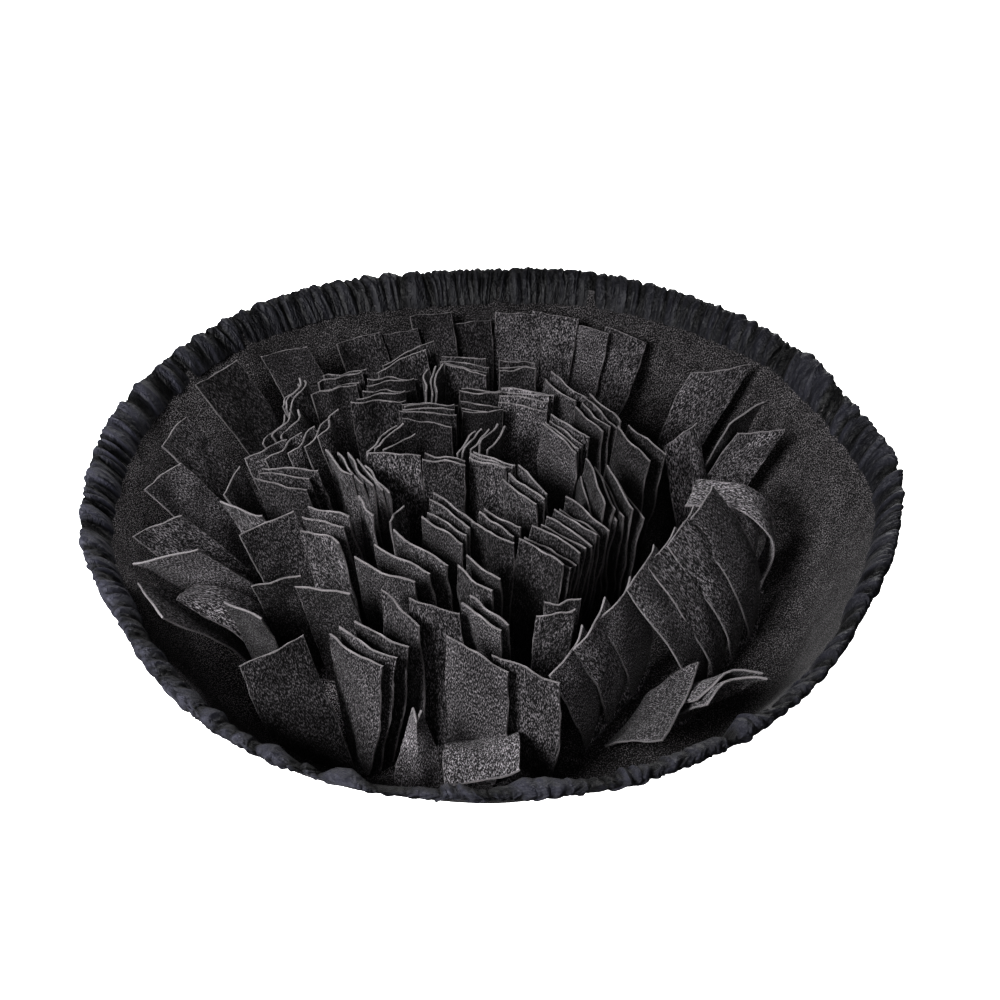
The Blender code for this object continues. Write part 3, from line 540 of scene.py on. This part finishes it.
def make_casing(profile, material):
    """The elastic casing: a strip of nylon wrapped over the felt's edge and gathered into pleats."""
    rng = np.random.default_rng(SEED)
    degrees = np.linspace(0, 360, CASING_AROUND, endpoint=False)
    rings = smooth_ring(profile, degrees)
    size = smooth_ring(casing_size(profile), degrees)
    up = rings[:, -1] - rings[:, -2]
    up /= np.linalg.norm(up, axis=1, keepdims=True)
    inward = np.stack((-up[:, 1], up[:, 0]), axis=1)
    middle = rings[:, -1] + up * size[:, 2:]
    perimeter = float(2 * np.pi * middle[:, 0].mean())
    turn = np.linspace(LIP_TURN, -LIP_TURN, CASING_OVER + 1)
    over = (turn / LIP_TURN)[None, :]              # 1 at the inner lip, 0 on top, -1 at the outer lip
    run = (perimeter * degrees / 360)[:, None]
    back = backness(degrees)[:, None]
    # folds run upright at the back and aslant elsewhere, wandering a little as they go over
    a = np.radians(degrees)[:, None]
    slant = ((1 - 0.45 * back) * (2.2 * np.sin(9 * a + 0.6) + 2.4 * np.sin(23 * a + 2.0))
             + 1.6 * np.sin(41 * a))
    wander = 1.1 * np.sin(2.6 * over + 5 * np.sin(7 * a)) + 0.6 * np.sin(6 * over + 9 * np.sin(5 * a + 1))
    at = run - slant * over + wander
    # flat-faced folds that cross each other toward the inner hem, small tight gathers along the elastic
    hemward = np.clip(0.45 + 0.75 * over, 0.2, 1.0)
    elastic = np.clip(0.75 - 0.9 * over, 0.12, 1.0)
    puffs = pleat_heights(rng, perimeter, at, over, *PUFFS, creased=True) * hemward
    crossing = run + (5.0 + 3.0 * np.sin(6 * a)) * over
    facets = pleat_heights(rng, perimeter, crossing, over, *FACETS, creased=True) * hemward
    folds = pleat_heights(rng, perimeter, at + 1.5 * over ** 2, over, *FOLDS)
    folds = folds * (back * 0.9 + (1 - back) * elastic)
    creases = pleat_heights(rng, perimeter, at + 2.0 * wander, over, *CREASES) * elastic
    hem = np.interp(np.abs(over), (0.0, 0.7, 1.0), (1.0, 1.0, 0.5))
    # drawn thin over its outer side, most of all at the low front
    frontness = np.exp(-(((degrees - 90) % 360 - 180) / 40.0) ** 2)[:, None]
    drawn = (CASING_DRAWN[1] + (CASING_DRAWN[0] - CASING_DRAWN[1]) * frontness) * np.clip(0.7 - over, 0, 1)
    puff = hem * (puffs + facets + folds + creases)
    t = np.radians(turn)[None, :]
    half, thick = size[:, :1], size[:, 1:2]
    # the inner hem hangs lower over the felt, most of all at the back
    hung = 1 + (CASING_HUNG[1] + (CASING_HUNG[0] - CASING_HUNG[1]) * back) * np.clip(over, 0, 1) ** 1.5
    along = (half + puff - drawn) * np.cos(t) * np.where(np.cos(t) < 0, hung, 1.0)
    across = (thick * 0.92 + puff - drawn) * np.sin(t)
    radius = middle[:, :1] + up[:, :1] * along + inward[:, :1] * across
    height = middle[:, 1:] + up[:, 1:] * along + inward[:, 1:] * across
    points = np.stack((radius * np.cos(a), radius * np.sin(a), height), axis=2)
    columns = CASING_OVER + 1
    faces = []
    for i in range(CASING_AROUND):
        n = (i + 1) % CASING_AROUND
        for j in range(CASING_OVER):
            faces.append((i * columns + j, i * columns + j + 1, n * columns + j + 1, n * columns + j))
    casing = make_piece("ruched_casing", points.reshape(-1, 3), faces, material, "rim_casing", crease=26)
    flat = np.broadcast_arrays(run, over * CASING_CUT[1] / 2, 0 * run)
    put_vectors(casing, "cloth_mm", np.stack(flat, axis=2).reshape(-1, 3))
    # painted light and shade: paler or darker round the mat, and ridges drawn paler and creases darker than
    # the light alone makes them
    ridge = np.clip(0.5 + puff / (2.2 * np.std(puff)), 0, 1)
    tone_and_painted_shade = painted_shade_round(degrees, CASING_PAINTED_SHADE)[:, None] * (0.12 + 1.75 * ridge ** 1.2)
    put_numbers(casing, "tone_and_painted_shade", tone_and_painted_shade)
    return casing


# ---- flaps --------------------------------------------------------------------------------------


def read_flaps(node):
    """The two side lines of each flap in a row, root to tip: [flap][side][level, xyz], from the frame."""
    points, beside = node_points(node)
    standing = points[:, 2] > STRIP_TOP + 1.0
    left, flaps = set(np.nonzero(standing)[0].tolist()), []
    while left:
        group, edge = set(), [left.pop()]
        while edge:
            v = edge.pop()
            group.add(v)
            for n in beside[v]:
                if n in left:
                    left.discard(n)
                    edge.append(n)
        low = min(points[v, 2] for v in group)
        roots = {n for v in group if points[v, 2] < low + 1 for n in beside[v] if not standing[n]}
        corners = points[sorted(group | roots)]
        corners = corners[np.argsort(corners[:, 2], kind="stable")]
        levels = [split_ends(corners[k:k + 4]) for k in range(0, len(corners), 4)]
        flaps.append(level_up(levels))
    # the same side first in every flap, and the flaps in order along their strip
    reference = flaps[0][0][1] - flaps[0][1][1]
    flaps = [f if (f[0][1] - f[1][1]) @ reference > 0 else f[::-1] for f in flaps]
    roots = np.array([(f[0][0] + f[1][0]) / 2 for f in flaps])
    if len(flaps) > 1:
        spread = roots - roots.mean(0)
        way = np.linalg.svd(spread)[2][0]
        flaps = [flaps[k] for k in np.argsort(spread @ way)]
    return flaps


def split_ends(four):
    """The middles of the two short ends of a section of four corners."""
    gaps = np.linalg.norm(four[:, None] - four[None], axis=2) + 1e9 * np.eye(4)
    partner = int(gaps[0].argmin())
    rest = [k for k in range(1, 4) if k != partner]
    return (four[0] + four[partner]) / 2, four[rest].mean(0)


def level_up(levels):
    """Follow the two ends of a flap from level to level without swapping them."""
    a, b = [levels[0][0]], [levels[0][1]]
    for p, q in levels[1:]:
        straight = np.linalg.norm(p - a[-1]) + np.linalg.norm(q - b[-1])
        crossed = np.linalg.norm(q - a[-1]) + np.linalg.norm(p - b[-1])
        if crossed < straight:
            p, q = q, p
        a.append(p)
        b.append(q)
    return np.array(a), np.array(b)


def flap_places(width, length):
    """Shares across and up a flap, with a narrow band along each cut edge."""
    across = np.linspace(0, 1, FLAP_ACROSS - 1)
    band = EDGE_BAND / width
    across = np.sort(np.concatenate((across, (band, 1 - band))))
    up = np.linspace(0, 1, FLAP_UP)
    up = np.sort(np.concatenate((up, (1 - EDGE_BAND / length,))))
    return across, up


def shape_flap(sides, hang, front, k, rng, profile):
    """Middle surface of a flap [up, across, xyz], hung as the row's felt hangs, with its places and size."""
    width = float(np.linalg.norm(sides[1][-1] - sides[0][-1]))
    length = float(np.linalg.norm(np.diff(sides[0], axis=0), axis=1).sum())
    across, up = flap_places(width, length)
    side_a, side_b = (smooth_line(side, up) for side in sides)
    s, u = across[None, :], up[:, None]
    taper = 1 - (hang["taper"] + rng.uniform(-0.06, 0.1)) * u ** 1.5
    spread = (s - 0.5) * taper + 0.5
    middle = side_a[:, None] * (1 - spread[..., None]) + side_b[:, None] * spread[..., None]
    rise = np.gradient(middle, axis=0)
    rise /= np.linalg.norm(rise, axis=2, keepdims=True)
    over = side_b[:, None] - side_a[:, None]
    normal = np.cross(np.broadcast_to(over, middle.shape), rise)
    normal /= np.linalg.norm(normal, axis=2, keepdims=True)
    normal *= 1.0 if float(normal.mean((0, 1)) @ front) > 0 else -1.0
    # the cut top: one corner higher, the cut a little uneven
    uneven = hang["ragged"] * (np.sin(s * rng.uniform(4, 8) + rng.uniform(0, 6))
                               + 0.5 * np.sin(s * rng.uniform(12, 18) + rng.uniform(0, 6)))
    trim = u ** 2 * ((hang["tilt"] + rng.uniform(-1.6, 1.6)) * (2 * s - 1) + uneven
                     + rng.uniform(-1.0, 0.4) * hang["uneven"])
    stray = rng.uniform(-1.0, 1.0) * hang["loose"] * u
    # side cuts are a little uneven too
    edge = over / np.linalg.norm(over, axis=2, keepdims=True)
    wander = 0.35 * np.sin(u * rng.uniform(6, 10) + rng.uniform(0, 6)) * (2 * s - 1)
    cup = (hang["cup"] + rng.uniform(-0.8, 0.8)) * (1 - (2 * s - 1) ** 2) * np.clip(u * 1.5, 0, 1)
    fold = hang["fold"] * (1 - np.abs(2 * s - 1)) * u
    ripple = hang["wave"] * np.sin(2 * np.pi * (hang["waves"] * s + hang["phase"] + 0.02 * k)) * u ** 1.6
    bend = (hang["bend"] + rng.uniform(-0.8, 0.8)) * np.sin(np.pi * u)
    rolled = np.clip((u - hang["roll"]) / (1 - hang["roll"]), 0, 1)
    curl = (hang["curl"] + rng.uniform(-0.25, 0.25)) * rolled ** 2
    corner = np.clip((s if hang["dog"] > 0 else 1 - s) + u - 1.45, 0, 1) ** 1.5 * abs(hang["dog"])
    middle = middle + rise * trim[..., None] + edge * wander[..., None]
    pushed = rng.uniform(0, 2 * np.pi, 4)
    dents = hang["dent"] * np.clip(4 * u, 0, 1) * (
        np.sin(5.5 * s + 3 * u + pushed[0]) * np.sin(9 * u - 3 * s + pushed[1])
        + 0.7 * np.sin(9 * s - 4 * u + pushed[2]) * np.sin(15 * u + 2 * s + pushed[3]))
    middle = middle + normal * (cup + fold + ripple + bend + curl + corner + stray + dents)[..., None]
    middle[..., 2] -= 0.35 * np.abs(curl) * rolled + 0.5 * corner
    middle = lay_on_disc(bend_over(middle, front, rolled, math.radians(hang["over"])), profile)
    return middle, across * width, up * length


def draw_foot(side, foot):
    """One side line of a flap, root to tip, with its root drawn along X and Y and its tip left in place."""
    left = 1 - (side[:, 2:] - side[0, 2]) / (side[-1, 2] - side[0, 2])
    return side + left * np.array((foot[0], foot[1], 0.0))


def swing_top(flap, degrees):
    """Both side lines of a flap, turned about the upright more and more toward the top."""
    turn = math.radians(degrees) * (flap[0][:, 2] - flap[0][0, 2]) / (flap[0][-1, 2] - flap[0][0, 2])
    middle = (flap[0] + flap[1]) / 2
    turned = []
    for side in flap:
        x, y, z = (side - middle).T
        turned.append(middle + np.stack((x * np.cos(turn) - y * np.sin(turn),
                                         x * np.sin(turn) + y * np.cos(turn), z), axis=1))
    return tuple(turned)


def lay_on_disc(middle, profile):
    """Lift whatever lies under the disc's upper face onto it."""
    radius = np.hypot(middle[..., 0], middle[..., 1])
    azimuth = np.degrees(np.arctan2(middle[..., 1], middle[..., 0])) % 360
    ring = np.round(azimuth / 360 * len(profile)).astype(int) % len(profile)
    floor = np.empty(radius.shape)
    for k in np.unique(ring):
        floor[ring == k] = np.interp(radius[ring == k], profile[k, :, 0], profile[k, :, 1])
    middle[..., 2] = np.maximum(middle[..., 2], floor + (DISC_FELT + FLAP_FELT) / 2 + LYING_AIR)
    return middle


def bend_over(middle, front, rolled, most):
    """Turn the upper part of a flap over, forward or back, keeping its cut length; most is in radians."""
    normal = surface_normal(middle)
    normal *= 1.0 if float(normal.mean((0, 1)) @ front) > 0 else -1.0
    steps = np.diff(middle, axis=0)
    turn = most * (rolled[1:] + rolled[:-1])[..., None] / 2
    steps = steps * np.cos(turn) + normal[:-1] * np.linalg.norm(steps, axis=2, keepdims=True) * np.sin(turn)
    return np.concatenate((middle[:1], middle[:1] + np.cumsum(steps, axis=0)))


def surface_normal(middle):
    """Unit normals of a surface [up, across, xyz]."""
    normal = np.cross(np.gradient(middle, axis=1), np.gradient(middle, axis=0))
    return normal / np.maximum(np.linalg.norm(normal, axis=2, keepdims=True), 1e-9)


def thicken(middle):
    """Both faces of a sheet of felt and its rounded cut edges."""
    rows, columns = middle.shape[:2]
    normal = surface_normal(middle)
    points = [(middle + normal * h).reshape(-1, 3) for h in (FLAP_FELT / 2, -FLAP_FELT / 2)]
    faces = grid_faces(rows, columns) + grid_faces(rows, columns, start=rows * columns)
    rim = ([(j, 0) for j in range(rows)] + [(rows - 1, i) for i in range(1, columns)]
           + [(j, columns - 1) for j in range(rows - 2, -1, -1)]
           + [(0, i) for i in range(columns - 2, 0, -1)])
    outer = []
    for j, i in rim:
        away = np.zeros(3)
        if i in (0, columns - 1):
            away += middle[j, i] - middle[j, 1 if i == 0 else columns - 2]
        if j == rows - 1:
            away += middle[j, i] - middle[j - 1, i]
        size = np.linalg.norm(away)
        outer.append(middle[j, i] + (away / size * EDGE_ROUND * (0.4 + 1.4 * ((7 * i + 13 * j) % 5) / 4)
                                     if size > 0 else away))
    points.append(np.array(outer))
    back, out = rows * columns, 2 * rows * columns
    for k, (j, i) in enumerate(rim):
        n = (k + 1) % len(rim)
        v, w = j * columns + i, rim[n][0] * columns + rim[n][1]
        faces.append((v, w, out + n, out + k))
        faces.append((out + k, out + n, back + w, back + v))
    # how much of the pale cut and its painted highlight shows: most along the top, which faces the light, less
    # down the sides
    at_edge = np.zeros((rows, columns))
    at_edge[:, (0, -1)] = 0.2
    at_edge[-1] = 0.5
    along_cut = [1.0 if j == rows - 1 else 0.45 for j, i in rim]
    return np.concatenate(points), faces, np.concatenate((np.tile(at_edge.ravel(), 2), along_cut)), rim


def make_row(node, profile, material):
    """One row of flaps with the strip that they are sewn to."""
    rng = np.random.default_rng(hash_name(node))
    hang = dict(HANG, phase=rng.uniform(0, 1), cup=rng.uniform(-1.5, 1.5), bend=rng.uniform(-1.5, 1.5))
    hang.update(ROW_HANG.get(node[6:], {}))
    flaps = [swing_top([draw_foot(side, hang["foot"]) for side in flap], hang["swing"])
             for flap in read_flaps(node)]
    front = facing(flaps)
    points, faces, place, cut, tone_and_painted_shade = [], [], [], [], []
    widths, area = 0.0, 0.0
    for k, sides in enumerate(flaps):
        middle, across, up = shape_flap(sides, hang, front, k, rng, profile)
        flat = np.stack(np.meshgrid(across, up), axis=2)
        flap_points, flap_faces, at_edge, rim = thicken(middle)
        start = len(points)
        faces += [tuple(start + v for v in f) for f in flap_faces]
        points += flap_points.tolist()
        # both faces, the cut edge and each flap take their own part of the felt's pattern
        cloth = [flat.reshape(-1, 2), flat.reshape(-1, 2), np.array([flat[j, i] for j, i in rim])]
        depth = np.repeat((0.0, 500.0, 250.0), [len(c) for c in cloth]) + rng.uniform(0, 4000)
        place += np.column_stack((np.concatenate(cloth), depth)).tolist()
        cut += at_edge.tolist()
        # the row's painted light and shade, times a random tone for each flap
        tone_and_painted_shade += [hang["tone_and_painted_shade"] * rng.uniform(0.8, 1.2)] * len(flap_points)
        widths += across[-1]
        area += across[-1] * up[-1]
    strip_points, strip_faces = strip(flaps, profile)
    start = len(points)
    faces += [tuple(start + v for v in f) for f in strip_faces]
    points += strip_points
    place += [(p[0], p[1], 900 + p[2]) for p in strip_points]
    cut += [0.0] * len(strip_points)
    tone_and_painted_shade += [hang["tone_and_painted_shade"]] * len(strip_points)
    row = make_piece("felt_" + node, points, faces, material, node)
    put_vectors(row, "cloth_mm", place)
    put_numbers(row, "cut_edge", cut)
    put_numbers(row, "tone_and_painted_shade", tone_and_painted_shade)
    return row


def hash_name(text):
    """A steady number from a name."""
    value = SEED
    for letter in text:
        value = (value * 31 + ord(letter)) % 1000003
    return value


def facing(flaps):
    """The way a row's flaps face: toward the camera's side of the mat and upward."""
    a, b = flaps[0]
    over = b[-1] - a[-1]
    rise = a[-1] - a[0]
    normal = np.cross(over, rise)
    return normal * (1.0 if normal[1] < 0 else -1.0)


def strip(flaps, profile):
    """The narrow strip under a row's roots, as a closed slab."""
    lines = [(f[0][0][:2], f[1][0][:2]) for f in flaps]
    if len(flaps) > 1:
        way = (lines[-1][0] + lines[-1][1] - lines[0][0] - lines[0][1]) / 2
    else:
        arm = lines[0][1] - lines[0][0]
        way = np.array((-arm[1], arm[0]))
    way = way / np.linalg.norm(way)
    ends = []
    for (a, b), sign in ((lines[0], -1), (lines[-1], 1)):
        arm = (b - a) / np.linalg.norm(b - a)
        across = np.array((-arm[1], arm[0]))
        across *= sign * (1.0 if across @ way > 0 else -1.0)
        ends.append((a + across * STRIP_REACH, b + across * STRIP_REACH))
    chain = [ends[0]] + lines + [ends[1]]
    top = lay_on_disc(np.array([(p[0], p[1], STRIP_TOP) for pair in chain for p in pair]), profile)
    points, faces = np.concatenate((top, top - np.array((0, 0, FLAP_FELT)))).tolist(), []
    count = len(chain)
    low = 2 * count
    for k in range(count - 1):
        p = 2 * k
        faces.append((p, p + 1, p + 3, p + 2))
        faces.append((low + p, low + p + 2, low + p + 3, low + p + 1))
        faces.append((p, p + 2, low + p + 2, low + p))
        faces.append((p + 1, low + p + 1, low + p + 3, p + 3))
    last = 2 * (count - 1)
    faces.append((0, low, low + 1, 1))
    faces.append((last, last + 1, low + last + 1, low + last))
    return points, faces


# ---- studio -------------------------------------------------------------------------------------


def make_cove():
    """White paper floor that rises all round and closes overhead, so that no view looks past it."""
    sides, steps = 48, 12
    points = [(0.0, 0.0, 0.0)]
    for step in range(steps):
        rise = math.radians(88 * step / (steps - 1))
        reach, height = COVE * math.cos(rise), COVE * math.sin(rise)
        points += [(reach * math.cos(a), reach * math.sin(a), height)
                   for a in (2 * math.pi * k / sides for k in range(sides))]
    faces = [(0, 1 + k, 1 + (k + 1) % sides) for k in range(sides)]
    faces += grid_faces(steps, sides, closed=True, start=1)
    faces.append(tuple(1 + (steps - 1) * sides + k for k in range(sides)))
    mesh = bpy.data.meshes.new("studio_cove")
    mesh.from_pydata(points, [], faces)
    mesh.materials.append(studio_floor("white_paper"))
    cove = bpy.data.objects.new("studio_cove", mesh)
    cove.location.z = -0.0005
    cove.visible_diffuse = False               # the mat is lit by the softboxes, not by the burnt-out paper
    cove.visible_glossy = False
    bpy.context.collection.objects.link(cove)


def add_softbox(name, place, side, watts):
    """A square white softbox at place, pointed at the middle of the mat."""
    light = bpy.data.lights.new(name, "AREA")
    light.shape = "SQUARE"
    light.size = side
    light.energy = watts
    lamp = bpy.data.objects.new(name, light)
    lamp.location = place
    lamp.rotation_euler = (-Vector(place)).to_track_quat("-Z", "Y").to_euler()
    bpy.context.collection.objects.link(lamp)


def make_studio():
    """The camera above the front of the mat, a large soft key at the left and a low light behind."""
    camera = bpy.data.objects.new("camera", bpy.data.cameras.new("camera"))
    camera.data.lens = CAMERA_LENS
    camera.data.sensor_width = 36
    camera.location = CAMERA_AT
    camera.rotation_euler = (math.radians(CAMERA_TILT), 0, 0)
    bpy.context.collection.objects.link(camera)
    bpy.context.scene.camera = camera
    world = bpy.data.worlds.new("studio")
    world.use_nodes = True
    room = world.node_tree.nodes["Background"]
    room.inputs["Color"].default_value = (1, 1, 1, 1)
    room.inputs["Strength"].default_value = ROOM_LIGHT
    bpy.context.scene.world = world
    for name, place, side, watts in SOFTBOXES:
        add_softbox(name, place, side, watts)
    bpy.context.scene.view_settings.view_transform = "Standard"
    bpy.context.scene.view_settings.look = "High Contrast"


# ---- the whole mat ------------------------------------------------------------------------------

make_studio()
make_cove()
# the last colour of each felt is its cut edge: pale fibre ends and painted highlight
disc_felt = felt("melange_felt_disc", "#050505", "#201F20", "#7A7779", "#4A494A", grain_mm=0.7, streak=1.4)
flap_felt = felt("melange_felt_flaps", "#0B0B0C", "#232223", "#726F72", "#A19D9F", grain_mm=0.54, streak=2.8)
nylon = ruched_nylon("gathered_nylon", "#0F0F12", "#202026")
wall = disc_profile()
disc = make_disc(wall, disc_felt)
casing = make_casing(wall, nylon)
rows = [make_row(node, wall, flap_felt) for node in sorted(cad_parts) if node.startswith("flaps_")]

bpy.context.view_layer.update()
